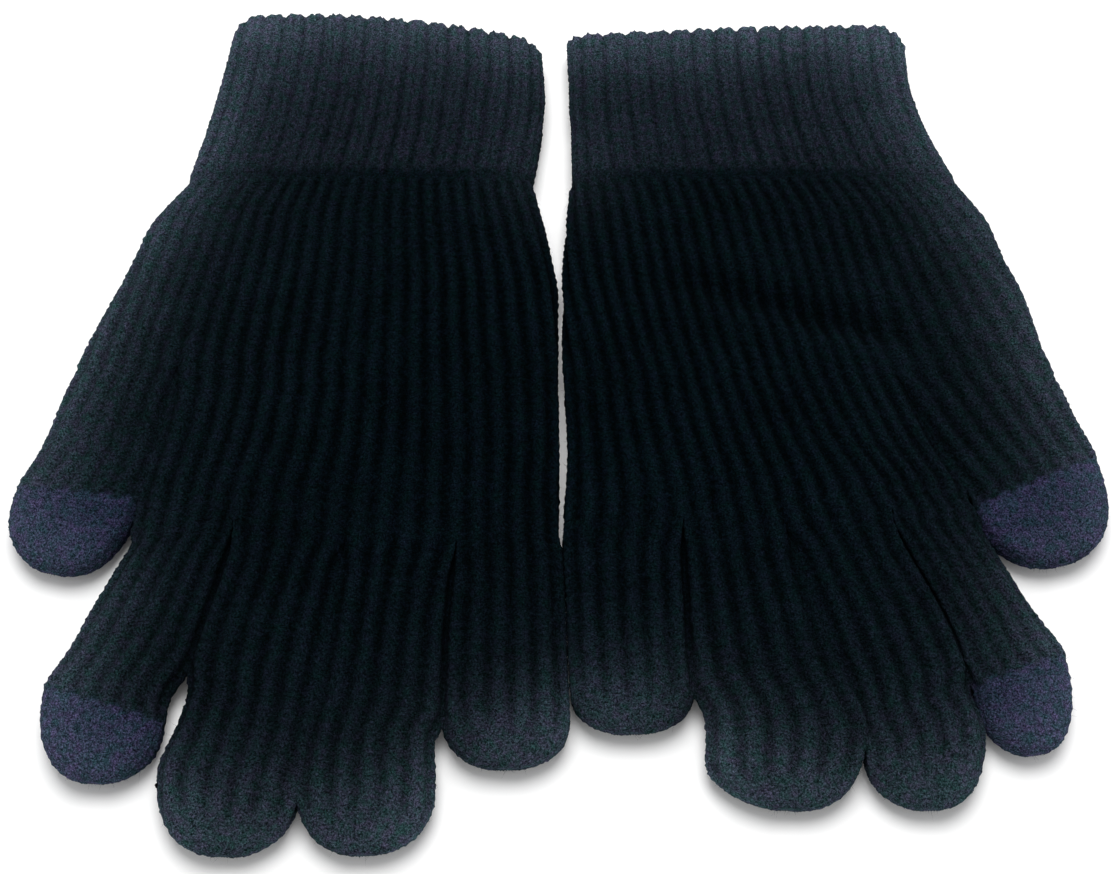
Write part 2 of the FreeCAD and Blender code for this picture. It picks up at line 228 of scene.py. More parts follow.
def round_section(low, high, thick, middle, shares):
    """Half of a flattened tube for each row: from its low side over the top to its high side.

    low and high are the points of the two sides, shares says how far along the half each column lies."""
    span = high - low
    wide = np.linalg.norm(span, axis=1)
    axis = span / wide[:, None]
    radius = np.minimum(thick / 2, wide * 0.499)[:, None]
    half = wide[:, None] / 2
    straight = 2 * half - 2 * radius
    corner = math.pi * radius / 2
    length = straight + 2 * corner
    run = shares * length
    turn_a = np.clip(run / radius, 0, math.pi / 2)
    turn_b = np.clip((length - run) / radius, 0, math.pi / 2)
    across = -half + radius + run - corner
    across = np.where(run < corner, -half + radius * (1 - np.cos(turn_a)), across)
    across = np.where(run > corner + straight, half - radius * (1 - np.cos(turn_b)), across)
    rise = radius * np.minimum(np.sin(turn_a), np.sin(turn_b))
    centre = (low + high) / 2
    points = np.empty(shares.shape + (3,))
    points[..., 0] = centre[:, None, 0] + axis[:, None, 0] * across
    points[..., 1] = centre[:, None, 1] + axis[:, None, 1] * across
    swell = CROWN * (1 - (across / half) ** 2) * np.minimum(1, radius / (HAND_THICK / 2))
    points[..., 2] = middle[:, None] + rise + swell * (rise > 0)
    return points, rise


def full_ring(low, high, thick, middle, shares, twist=0.0):
    """A whole ring for each row: over the top from the low side to the high one, and back underneath.

    twist slides the columns round the ring, by a share of one face for each row."""
    around = np.concatenate([shares[:, :-1], 2 - shares[:, :0:-1]], axis=1)
    around = (around + np.reshape(twist, (-1, 1))) % 2
    under = around > 1
    points, rise = round_section(low, high, thick, middle, np.where(under, 2 - around, around))
    points[..., 2] = np.where(under, middle[:, None] - rise, points[..., 2])
    return points


def pinned(columns, pins, places):
    """Columns' shares where some columns are held at given shares and the rest are even between them."""
    knots = np.concatenate([[0], pins, [columns]])
    values = np.concatenate([[0], places, [1]])
    return np.interp(np.arange(columns + 1), knots, values)


def share_at(low, high, thick, across):
    """How far along the top half of a section a point at that X lies."""
    wide = np.linalg.norm(high - low)
    radius = thick / 2
    length = wide - 2 * radius + math.pi * radius
    part = (across - low[0]) / (high[0] - low[0]) * wide
    return (part - radius + math.pi * radius / 2) / length


class Grid:
    """A stretch of the knit: base points by row and column, and what is knitted there."""

    def __init__(self, points, first_course=0.0, columns_per_repeat=RIB_COLUMNS):
        self.points = points
        self.rows, self.columns = points.shape[:2]
        self.repeat = np.arange(self.columns) / columns_per_repeat
        self.course = first_course + np.arange(self.rows) / ROWS_PER_COURSE
        self.plain = np.zeros((self.rows, self.columns))
        self.fade = np.ones((self.rows, self.columns))
        self.touch = np.zeros((self.rows, self.columns))
        self.tone = np.zeros((self.rows, self.columns))
        self.cuff = False
        self.parent = None

    def base_normals(self):
        along = np.gradient(self.points, axis=0)
        around = np.roll(self.points, -1, axis=1) - np.roll(self.points, 1, axis=1)
        normal = np.cross(along, around)
        size = np.linalg.norm(normal, axis=2, keepdims=True)
        return normal / np.maximum(size, 1e-9)


# ---- the knit's relief -----------------------------------------------------------------------

def smooth_noise(rows, columns, row_step, column_step, seed_noise):
    """Soft noise over a ring of columns: random values on a coarse lattice, joined smoothly."""
    lattice_rows = int(rows / row_step) + 3
    lattice_columns = max(3, int(round(columns / column_step)))
    lattice = seed_noise.normal(size=(lattice_rows, lattice_columns))
    row_place = np.arange(rows) / row_step
    column_place = np.arange(columns) / columns * lattice_columns
    r0 = row_place.astype(int)
    c0 = column_place.astype(int)
    rf = smooth_step(row_place - r0)[:, None]
    cf = smooth_step(column_place - c0)[None, :]
    c1 = (c0 + 1) % lattice_columns
    c0 = c0 % lattice_columns
    top = lattice[r0][:, c0] * (1 - cf) + lattice[r0][:, c1] * cf
    foot = lattice[r0 + 1][:, c0] * (1 - cf) + lattice[r0 + 1][:, c1] * cf
    return top * (1 - rf) + foot * rf


def rib_relief(repeat, course, stitch):
    """One-by-one rib: a round crest of V-shaped stitches and a narrow purl groove."""
    phase = repeat % 1
    crest = np.abs(np.sin(math.pi * phase))
    ridge = -0.75 * np.cos(2 * math.pi * phase) + 0.25 * (2 * crest - 1)
    lean = np.abs(phase - 0.5)
    legs = np.cos(2 * math.pi * (course + 1.5 * lean)) * crest ** 2
    crease = -np.exp(-((phase - 0.5) / 0.1) ** 2)
    purl = np.cos(2 * math.pi * (course + 0.5)) * (1 - crest) ** 2
    return RIB_HIGH * ridge + stitch * (legs + 0.7 * crease + 0.6 * purl)


def plain_relief(repeat, course):
    """Plain knit: every wale is a column of small V-shaped stitches."""
    phase = (2 * repeat) % 1
    crest = np.abs(np.sin(math.pi * phase))
    lean = np.abs(phase - 0.5)
    legs = np.cos(2 * math.pi * (course + 1.2 * lean))
    return PLAIN_HIGH * (2 * crest - 1) + PLAIN_HIGH * legs * crest


def cuff_relief(repeat, course, stitch):
    """Two-by-one rib: two knit wales side by side, then a purl groove."""
    phase = repeat % 1
    crest = np.abs(np.sin(math.pi * phase))
    ridge = 2 * crest ** 0.9 - 1
    parting = np.exp(-((phase - 0.5) / 0.12) ** 2)
    lean = np.abs(np.abs(phase - 0.5) - 0.21)
    legs = np.cos(2 * math.pi * (course + 2.2 * lean)) * crest
    return CUFF_RIB_HIGH * (ridge - 1.15 * parting) + 0.6 * stitch * legs


def knit_relief(grid):
    """Height of the knit above a grid's base surface."""
    shape = (grid.rows, grid.columns)
    wander = WANDER * smooth_noise(*shape, 5 * ROWS_PER_COURSE, 4 * RIB_COLUMNS, rng)
    slip = 0.12 * smooth_noise(*shape, 2 * ROWS_PER_COURSE, RIB_COLUMNS, rng)
    uneven = 1 + 0.25 * smooth_noise(*shape, 1.2 * ROWS_PER_COURSE, RIB_COLUMNS, rng)
    repeat = grid.repeat[None, :] + wander * grid.fade
    course = grid.course[:, None] + slip
    stitch = STITCH_HIGH * uneven
    if grid.cuff:
        rib = cuff_relief(repeat, course, stitch)
    else:
        rib = rib_relief(repeat, course, stitch)
    flat = plain_relief(repeat, course)
    grain = GRAIN * rng.normal(size=shape)
    lump = 0.08 * smooth_noise(*shape, 2.5 * ROWS_PER_COURSE, 1.5 * RIB_COLUMNS, rng)
    strong = 1 + 0.22 * smooth_noise(*shape, 8 * ROWS_PER_COURSE, 5 * RIB_COLUMNS, rng)
    relief = rib * strong * (1 - grid.plain) + flat * grid.plain + grain + lump
    return relief * grid.fade


# ---- one glove's grids -----------------------------------------------------------------------

def parent_columns(total, first, ribs, shared):
    """For each column of a new ring, the column of its parent's ring that it goes on from, or -1.

    first is the parent's column where the new ring's front face begins. shared says whether the
    low and the high side are the parent's own folded sides; a side that isn't is a new fold."""
    side, face = SIDE_RIBS * RIB_COLUMNS, int(ribs * RIB_COLUMNS)
    columns = 4 * side + 2 * face
    found = np.full(columns, -1)
    steps = np.arange(face + 1)
    found[side + steps] = first + steps
    found[columns - side - steps] = total - first - steps
    if shared[0]:
        found[:side] = np.arange(side)
        found[columns - side:] = np.arange(total - side, total)
    if shared[1]:
        steps = np.arange(2 * side + 1)
        found[side + face + steps] = first + face + steps
    return found


def start_ring(last, found):
    """A parent's last row as the first row of a new ring; a new fold is a straight upright wall."""
    columns = len(found)
    known = np.flatnonzero(found >= 0)
    values = last[found[known]]
    wrapped = np.concatenate([known - columns, known, known + columns])
    values = np.tile(values, (3, 1))
    return np.stack([np.interp(np.arange(columns), wrapped, values[:, k]) for k in range(3)], axis=1)


class Glove:
    """The grids of one glove, with the thumb on the low side of X."""

    def __init__(self, side):
        self.side = side
        self.sign = SIDES[side]
        self.thumb_ribs = THUMB_RIBS[side]
        self.grids = {}
        self.read_outlines()
        self.make_cuff()
        self.make_palm_upper()
        self.make_palm_lower()
        self.make_finger("thumb", "palm_upper", SIDE_RIBS * RIB_COLUMNS, (True, False), self.thumb_ribs)
        for number, finger in enumerate(LONG_FINGERS):
            first = int((SIDE_RIBS + number * FINGER_RIBS) * RIB_COLUMNS)
            shared = (number == 0, number == len(LONG_FINGERS) - 1)
            self.make_finger(finger, "palm_lower", first, shared, FINGER_RIBS)

    def node(self, part):
        return f"{self.side}_{part}"

    def edge_y(self, part, end):
        low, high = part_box(self.node(part))
        return (low.y if end == "low" else high.y) / MM

    def read_outlines(self):
        """The sides of the hand and of each finger, and the places where they part."""
        self.wrist = self.edge_y("hand", "high")
        self.crotch = self.edge_y("thumb_lower", "high") + JOINT_GAP
        self.knuckles = self.edge_y("hand", "low")
        along, low, high = outline([self.node("hand")], self.sign, 80)
        upper = along > self.crotch
        self.root_low = softened(along[upper], low[upper])
        self.palm_low = softened(along[~upper], low[~upper])
        self.palm_high = softened(along, high)
        self.sides = {}
        bases = {}
        for finger in ("thumb",) + LONG_FINGERS:
            parts = [self.node(f"{finger}_{part}") for part in ("upper", "lower")]
            along, low, high = outline(parts, self.sign)
            self.sides[finger] = (softened(along, low), softened(along, high))
            bases[finger] = (low[-1], high[-1])
        pairs = zip(LONG_FINGERS, LONG_FINGERS[1:])
        self.crotches = [(bases[a][1] + bases[b][0]) / 2 for a, b in pairs]
        self.thumb_crotch = (bases["thumb"][1] + float(self.palm_low(self.crotch))) / 2
        self.thumb_end = self.edge_y("thumb_tip", "high") - 4

    def beside(self, finger, is_high, y):
        """The neighbour's nearer side at each place, and how much the knit keeps to it there."""
        order = ("thumb",) + LONG_FINGERS
        place = order.index(finger) + (1 if is_high else -1)
        if place < 0 or place >= len(order):
            return np.zeros(len(y)), np.zeros(len(y))
        other = order[place]
        line = self.sides[other][0 if is_high else 1](y)
        if finger == "thumb":
            line = np.where(y > self.knuckles, self.palm_low(y), line)
        pair = (finger, other) if is_high else (other, finger)
        end = max(self.edge_y(f"{name}_tip", "high") for name in pair) - 6
        near = smooth_step((y - end) / 8)
        if (self.side,) + pair in APART_FROM:
            near = near * smooth_step((y - APART_FROM[(self.side,) + pair]) / APART_LONG + 1)
        return line, near

    def make_cuff(self):
        """The cuff's tube, from its mouth, whose line may be slanted, to the wrist."""
        points, _ = node_wires(self.node("cuff_edge"))
        x = points[:, 0] * self.sign
        self.mouth_low = np.array([x.min(), points[np.argmin(x), 1]])
        self.mouth_high = np.array([x.max(), points[np.argmax(x), 1]])
        wrist_low = np.array([float(self.root_low(self.wrist)), self.wrist])
        wrist_high = np.array([float(self.palm_high(self.wrist)), self.wrist])
        length = (self.mouth_low[1] + self.mouth_high[1]) / 2 - self.wrist
        rows = course_rows(length)
        share = np.linspace(1, 0, rows)[:, None]
        low = wrist_low + (self.mouth_low - wrist_low) * share
        high = wrist_high + (self.mouth_high - wrist_high) * share
        bow = np.sin(math.pi * share[:, 0])
        low[:, 0] -= bow * CUFF_BOW[self.side][0]
        high[:, 0] += bow * CUFF_BOW[self.side][1]
        thick = np.full(rows, CUFF_THICK)
        half = CUFF_REPEATS * CUFF_COLUMNS // 2
        shares = np.tile(np.arange(half + 1) / half, (rows, 1))
        points = full_ring(low, high, thick, FLOOR_LIFT + thick / 2, shares)
        part = (points[..., 0] - low[:, :1]) / (high[:, :1] - low[:, :1])
        to_side = np.minimum(part, 1 - part) * (high[:, :1] - low[:, :1])
        drop = np.where(part < 0.5, *CORNER_DROP[self.side])
        corner = drop * np.clip(1 - to_side / CORNER_WIDE, 0, 1) ** 2
        points[..., 1] += (MOUTH_BOW[self.side] * np.sin(math.pi * np.clip(part, 0, 1)) - corner) * share ** 2
        grid = Grid(points, 0.0, CUFF_COLUMNS)
        grid.cuff = True
        distance = length * share[:, 0]
        grid.fade *= smooth_step(distance / SEAM_FADE)[:, None]
        scallop = np.abs(np.sin(math.pi * grid.repeat))[None, :]
        grid.tone[:] = smooth_step((distance[:, None] - 1.5 * scallop) / TONE_LONG)
        self.grids["cuff"] = grid

    def make_palm_upper(self):
        """The hand from the wrist to the thumb's crotch, with the root of the thumb."""
        length = self.wrist - self.crotch
        rows = course_rows(length)
        y = np.linspace(self.wrist, self.crotch, rows)
        distance = self.wrist - y
        eased = HAND_IN * smooth_step(distance / 20)
        low = np.stack([self.root_low(y) + eased, y], axis=1)
        high = np.stack([self.palm_high(y), y], axis=1)
        thick = CUFF_THICK + (HAND_THICK - CUFF_THICK) * smooth_step(distance / 10)
        half = (2 * SIDE_RIBS + self.thumb_ribs + PALM_RIBS) * RIB_COLUMNS
        pin = (SIDE_RIBS + self.thumb_ribs) * RIB_COLUMNS
        even = np.arange(half + 1) / half
        target = share_at(low[-1], high[-1], thick[-1], self.thumb_crotch)
        final = pinned(half, [pin], [target])
        shares = even + (final - even) * smooth_step(distance / length)[:, None]
        twist = TWIST[self.side] * (1 - distance / length)
        grid = Grid(full_ring(low, high, thick, FLOOR_LIFT + thick / 2, shares, twist))
        grid.fade *= smooth_step(distance / SEAM_FADE)[:, None]
        self.grids["palm_upper"] = grid

    def make_palm_lower(self):
        """The palm from the thumb's crotch to the knuckles. Its thumb side is a new fold."""
        length = self.crotch - self.knuckles
        rows = course_rows(length)
        y = np.linspace(self.crotch, self.knuckles, rows)
        distance = self.crotch - y
        blend = RIGHT_THUMB_BLEND if self.side == "right" else START_BLEND
        thumb_gap = (self.sides["thumb"][1](y) + self.palm_low(y)) / 2
        beside_thumb = thumb_gap - TOUCH * smooth_step(distance / blend)
        low = np.stack([np.where(y > self.thumb_end, beside_thumb, self.palm_low(y) - TOUCH), y], axis=1)
        high = np.stack([self.palm_high(y), y], axis=1)
        half = (2 * SIDE_RIBS + PALM_RIBS) * RIB_COLUMNS
        thick = np.full(rows, HAND_THICK)
        pins = [(SIDE_RIBS + FINGER_RIBS * n) * RIB_COLUMNS for n in (1, 2, 3)]
        targets = [share_at(low[-1], high[-1], HAND_THICK, x) for x in self.crotches]
        even = np.arange(half + 1) / half
        final = pinned(half, pins, targets)
        shares = even + (final - even) * smooth_step(distance / length)[:, None]
        own = full_ring(low, high, thick, FLOOR_LIFT + thick / 2, shares)
        parent = self.grids["palm_upper"]
        found = parent_columns(parent.columns, (SIDE_RIBS + self.thumb_ribs) * RIB_COLUMNS,
                               PALM_RIBS, (False, True))
        points = grown(parent.points[-1], found, own, low, high, distance, blend)
        curve_x = [low[-1][0]] + self.crotches + [high[-1][0]]
        curve_y = [0.0] + list(CROTCH_DEPTH[self.side]) + [0.0]
        bend = np.interp(points[..., 0], curve_x, curve_y)
        points[..., 1] -= bend * (distance / length)[:, None] ** 2
        grid = Grid(points, parent.course[-1])
        grid.parent, grid.found = parent, found
        grid.fade *= fold_fade(grid, (True, False), distance, blend)
        self.grids["palm_lower"] = grid

    def make_finger(self, finger, parent_name, first, shared, ribs):
        """A finger's tube and its rounded tip as one grid."""
        parent = self.grids[parent_name]
        low_line, high_line = self.sides[finger]
        found = parent_columns(parent.columns, first, ribs, shared)
        start = start_ring(parent.points[-1], found)
        half = len(found) // 2
        start_low, start_high = start[0, :2], start[half, :2]
        cap = self.edge_y(f"{finger}_tip", "high")
        wide = float(high_line(cap) - low_line(cap))
        rise = math.tan(math.radians(CAP_LEAN[self.side][finger])) * wide / 2
        length = (start_low[1] + start_high[1]) / 2 - cap
        rows = course_rows(length)
        share = np.linspace(0, 1, rows)
        distance = share * length
        blend = RIGHT_THUMB_BLEND if (self.side, finger) == ("right", "thumb") else START_BLEND
        low = self.side_rail(finger, False, start_low, cap + rise, share, distance, blend)
        high = self.side_rail(finger, True, start_high, cap - rise, share, distance, blend)
        tip_low, tip_high, tip_thick, tip_middle = self.round_tip(finger, low[-1], high[-1])
        low = np.concatenate([low, tip_low])
        high = np.concatenate([high, tip_high])
        middle = np.concatenate([np.full(rows, FLOOR_LIFT + HAND_THICK / 2), tip_middle])
        thick = np.concatenate([np.full(rows, HAND_THICK), tip_thick])
        tip_distance = np.arange(1, len(tip_low) + 1) * COURSE / ROWS_PER_COURSE
        distance = np.concatenate([distance, length + tip_distance])
        shares = np.tile(np.arange(half + 1) / half, (len(low), 1))
        own = full_ring(low, high, thick, middle, shares)
        grid = Grid(grown(parent.points[-1], found, own, low, high, distance, blend), parent.course[-1])
        grid.parent, grid.found = parent, found
        grid.repeat = grid.repeat + first / RIB_COLUMNS % 1
        grid.cap_row = rows - 1
        grid.fade *= fold_fade(grid, (not shared[0], not shared[1]), distance, blend)
        to_end = distance[-1] - distance
        if finger in TOUCH_FINGERS:
            past = (distance - length)[:, None] + 0.3 * COURSE * np.cos(2 * math.pi * grid.repeat)[None, :]
            grid.plain[:] = smooth_step((distance - length) / 1.0 + 0.5)[:, None]
            grid.touch[:] = smooth_step(past / 1.3 + 0.5)
        else:
            grid.plain[:] = smooth_step((PLAIN_LONG - to_end) / PLAIN_SOFT + 0.5)[:, None]
        grid.fade *= smooth_step(to_end / TIP_FADE)[:, None]
        self.grids[finger] = grid

    def side_rail(self, finger, is_high, start, cap_y, share, distance, blend):
        """One side of a finger, row by row: it leaves the start point and keeps close to its neighbour."""
        outward = 1 if is_high else -1
        y = start[1] + (cap_y - start[1]) * share
        line = self.sides[finger][1 if is_high else 0](y)
        other, near = self.beside(finger, is_high, y)
        free = LITTLE_SPREAD if finger == "little" and is_high else SPREAD
        half_gap = outward * (other - line) / 2
        touching = np.clip(half_gap + TOUCH * smooth_step(distance / blend), -1.0, 2.2)
        near_tip = smooth_step((cap_y + TIP_FIT_LONG - y) / TIP_FIT_LONG)
        fit = TIP_FIT[self.side][finger][1 if is_high else 0]
        out = free + (touching - free) * near + fit * near_tip
        x = start[0] + (line + outward * out - start[0]) * smooth_step(distance / 5)
        return np.stack([x, y], axis=1)

    def round_tip(self, finger, cap_low, cap_high):
        """Rows of a rounded tip past the line where its yarn begins."""
        points, _ = node_wires(self.node(f"{finger}_tip"))
        end_y = points[:, 1].min()
        end_x = (points[points[:, 1] < end_y + 0.3][:, 0] * self.sign).mean()
        end_x += TIP_FIT[self.side][finger][2]
        end_y += TIP_FIT[self.side][finger][3]
        centre = (cap_low + cap_high) / 2
        reach = np.array([end_x, end_y]) - centre
        half = np.linalg.norm(cap_high - cap_low) / 2
        turn = np.linspace(0, math.radians(88.5), 400)
        ahead = np.sin(turn) ** (2 / TIP_SQUARE) * np.linalg.norm(reach)
        narrow = np.cos(turn) ** (2 / TIP_SQUARE) * half
        path = np.concatenate([[0], np.cumsum(np.hypot(np.diff(ahead), np.diff(narrow)))])
        rows = course_rows(path[-1]) - 1
        turn = np.interp(np.linspace(0, path[-1], rows + 1)[1:], path, turn)
        ahead = np.sin(turn)[:, None] ** (2 / TIP_SQUARE)
        narrow = np.cos(turn)[:, None] ** (2 / TIP_SQUARE) * half
        across = (cap_high - cap_low) / (2 * half)
        square = np.array([-reach[1], reach[0]]) / np.linalg.norm(reach)
        axis = across + (square - across) * ahead
        axis /= np.linalg.norm(axis, axis=1, keepdims=True)
        line = centre + reach * ahead
        thick = HAND_THICK * (TIP_END_THICK + (1 - TIP_END_THICK) * np.cos(turn) ** 0.75)
        middle = FLOOR_LIFT + HAND_THICK * (0.5 - 0.06 * ahead[:, 0])
        return line - axis * narrow, line + axis * narrow, thick, middle


def course_rows(length):
    return max(2, int(round(length / COURSE))) * ROWS_PER_COURSE + 1


def grown(last, found, own, low, high, distance, blend):
    """A ring that starts as its parent's last row and grows into its own sections."""
    start = start_ring(last, found)
    origin_low, origin_high = start[0, :2], start[len(found) // 2, :2]
    span = origin_high - origin_low
    part = np.clip(((start[:, :2] - origin_low) @ span) / (span @ span), 0, 1)[None, :, None]
    copied = np.tile(start, (len(low), 1, 1))
    copied[..., :2] += (1 - part) * (low - origin_low)[:, None] + part * (high - origin_high)[:, None]
    mix = smooth_step(distance / blend)[:, None, None]
    points = copied * (1 - mix) + own * mix
    points[0] = start
    return points


def fold_fade(grid, new_folds, distance, blend):
    """0 on a new fold beside a crotch, where there is no room for relief, and 1 elsewhere."""
    grown_share = smooth_step(distance / blend)[:, None]
    side = SIDE_RIBS * RIB_COLUMNS
    column = np.arange(grid.columns)
    low_fold = np.minimum(column, grid.columns - column)
    high_fold = np.abs(column - grid.columns // 2)
    fade = np.ones((grid.rows, grid.columns))
    for is_new, away in zip(new_folds, (low_fold, high_fold)):
        if is_new:
            inside = smooth_step((away - side * 0.6) / (side * 0.4))[None, :]
            fade = fade * (grown_share + (1 - grown_share) * inside)
    return fade


# ---- painted light: how much glare pales the yarn at each place ------------------------------

def blurred(field, reach):
    """A field on the plan's cells, blurred with a bell of that width."""
    steps = int(3 * reach / OPEN_CELL)
    offsets = np.arange(-steps, steps + 1) * OPEN_CELL
    bell = np.exp(-0.5 * (offsets / reach) ** 2)
    bell /= bell.sum()
    for axis in (0, 1):
        padded = np.pad(field, [(steps, steps) if axis == k else (0, 0) for k in (0, 1)], mode="edge")
        field = np.apply_along_axis(lambda line: np.convolve(line, bell, "valid"), axis, padded)
    return field


def glare_plan(gloves):
    """A plan of the pair for painted light: near its outline the yarn is painted pale as if in glare, and inside it
    is left dark.
    """
    points = np.concatenate([
        (grid.surface[..., :2] * [glove.sign, 1]).reshape(-1, 2)
        for glove in gloves for grid in glove.grids.values()])
    low = points.min(axis=0) - OPEN_MARGIN
    cells = np.ceil((points.max(axis=0) + OPEN_MARGIN - low) / OPEN_CELL).astype(int)
    covered = np.zeros(cells)
    place = ((points - low) / OPEN_CELL).astype(int)
    covered[place[:, 0], place[:, 1]] = 1
    for value in (1, 0):                    # closes the narrow gaps between neighbours
        for _ in range(2):
            padded = np.pad(covered, 1, mode="edge")
            around = [padded[1 + i:padded.shape[0] - 1 + i, 1 + j:padded.shape[1] - 1 + j]
                      for i, j in ((0, 0), (1, 0), (-1, 0), (0, 1), (0, -1))]
            covered = np.maximum.reduce(around) if value else np.minimum.reduce(around)
    bare = 1 - covered
    return low, sum(weight * blurred(bare, reach) for reach, weight in OPEN_REACHES)


def glare_at(plan, points):
    """The plan's value at each point, between its four nearest cells."""
    low, field = plan
    place = (points[..., :2] - low) / OPEN_CELL - 0.5
    place = np.clip(place, 0, np.array(field.shape) - 2.001)
    cell = place.astype(int)
    share = place - cell
    i, j = cell[..., 0], cell[..., 1]
    s, t = share[..., 0], share[..., 1]
    near = field[i, j] * (1 - s) + field[i + 1, j] * s
    far = field[i, j + 1] * (1 - s) + field[i + 1, j + 1] * s
    return near * (1 - t) + far * t


# ---- finished surfaces -----------------------------------------------------------------------

def palm_folds(x, y):
    """The soft diagonal folds across the right palm, as a height in millimetres."""
    start, end = np.array(FOLD_START), np.array(FOLD_END)
    way = (end - start) / np.linalg.norm(end - start)
    along = (x - start[0]) * way[0] + (y - start[1]) * way[1]
    away = -(x - start[0]) * way[1] + (y - start[1]) * way[0]
    length = np.linalg.norm(end - start)
    window = smooth_step((along + 12) / 24) * smooth_step((length + 16 - along) / 28)
    valley = -FOLD_DEEP * np.exp(-(away / 3.6) ** 2)
    ridge = 0.55 * FOLD_DEEP * np.exp(-((away + 8.0) / 4.5) ** 2)
    ridge += 0.45 * FOLD_DEEP * np.exp(-((away - 8.5) / 5.0) ** 2)
    return window * (valley + ridge)


def finish_grid(grid, sign, folds):
    """Works out a grid's knitted surface, its normals and its shades."""
    normal = grid.base_normals()
    relief = knit_relief(grid)
    grid.relief = relief
    offset = normal * relief[..., None]
    top = smooth_step(normal[..., 2] * 1.5)
    swell = SWELL * smooth_noise(grid.rows, grid.columns, 10 * ROWS_PER_COURSE, 6 * RIB_COLUMNS, rng)
    swell = swell * smooth_step(np.arange(grid.rows) / 16)[:, None]
    swell = swell * smooth_step((grid.rows - 1 - np.arange(grid.rows)) / 16)[:, None]
    lift = swell * top
    if folds:
        fold = folds(grid.points[..., 0] * sign, grid.points[..., 1]) * top
        lift = lift + fold
        # painted shade and light: a fold's valley is painted darker and its ridges paler through the relief
        relief += FOLD_SHADE * fold
    offset[..., 2] += lift
    if grid.parent is not None:
        start = start_ring(grid.parent.offset[-1], grid.found)
        distance = np.arange(grid.rows) * COURSE / ROWS_PER_COURSE
        carry = 1 - smooth_step(distance / START_FADE)
        offset += (start - offset[0]) * carry[:, None, None]
        known = grid.found >= 0
        relief[0, known] = grid.parent.relief[-1, grid.found[known]]
    grid.offset = offset
    grid.surface = grid.points + offset
    grid.surface[..., 2] = np.maximum(grid.surface[..., 2], 0.03)
    grid.lining = grid.points - normal * WALL
    if grid.cuff:
        grid.lining += normal * relief[..., None] * 0.8
    grid.lining[..., 2] += lift * 0.8
    grid.normals = surface_normals(grid.surface)
    if grid.parent is not None:
        known = grid.found >= 0
        shared = grid.parent.normals[-1, grid.found[known]] + grid.normals[0, known]
        shared /= np.linalg.norm(shared, axis=1, keepdims=True)
        grid.parent.normals[-1, grid.found[known]] = shared
        grid.normals[0, known] = shared


def surface_normals(points):
    along = np.gradient(points, axis=0)
    around = np.roll(points, -1, axis=1) - np.roll(points, 1, axis=1)
    normal = np.cross(along, around)
    size = np.linalg.norm(normal, axis=2, keepdims=True)
    return normal / np.maximum(size, 1e-9)


def ring_faces(rows, columns, first, inward):
    """Four-sided faces of a grid whose points start at first."""
    row, column = np.meshgrid(np.arange(rows - 1), np.arange(columns), indexing="ij")
    beside = (column + 1) % columns
    a, b = first + row * columns + column, first + (row + 1) * columns + column
    c, d = first + (row + 1) * columns + beside, first + row * columns + beside
    order = (a, d, c, b) if inward else (a, b, c, d)
    return np.stack(order, axis=-1).reshape(-1, 4)


def rim_faces(outer, inner, columns, at_end):
    """Faces that close the gap between the surface and the lining at one end of a tube."""
    column = np.arange(columns)
    beside = (column + 1) % columns
    if at_end:
        return np.stack([outer + beside, outer + column, inner + column, inner + beside], axis=1)
    return np.stack([outer + column, outer + beside, inner + beside, inner + column], axis=1)


def fan_faces(ring, centre, columns, inward):
    column = np.arange(columns)
    beside = (column + 1) % columns
    if inward:
        return np.stack([ring + column, ring + beside, np.full(columns, centre)], axis=1)
    return np.stack([ring + beside, ring + column, np.full(columns, centre)], axis=1)


def make_mesh(name, points, faces, sign, material, values, normals=None):
    """A mesh object from points in millimetres; sign -1 mirrors it and turns its faces round."""
    points = points * np.array([sign, 1, 1])
    mesh = bpy.data.meshes.new(name)
    lists = [group[:, ::sign].tolist() for group in faces]
    mesh.from_pydata((points * MM).tolist(), [], sum(lists, []), shade_flat=False)
    rest = mesh.attributes.new("rest", "FLOAT_VECTOR", "POINT")
    rest.data.foreach_set("vector", points.astype(np.float32).ravel())
    # painted light: how much glare to paint on each point, more near the pair's outline and, through the slope, on
    # the flanks
    painted_glare = glare_at(plan, points)
    if normals is not None:
        painted_glare = painted_glare * (1 + SLOPE_GLARE * (1 - np.abs(normals[:, 2])))
    values = dict(values, painted_glare=painted_glare)
    for key in YARN_VALUES:
        layer = mesh.attributes.new(key, "FLOAT", "POINT")
        value = values.get(key, np.zeros(len(points)))
        layer.data.foreach_set("value", np.asarray(value, dtype=np.float32))
    if normals is not None:
        mesh.normals_split_custom_set_from_vertices((normals * np.array([sign, 1, 1])).tolist())
    mesh.materials.append(material)
    piece = bpy.data.objects.new(name, mesh)
    bpy.context.scene.collection.objects.link(piece)
    return piece


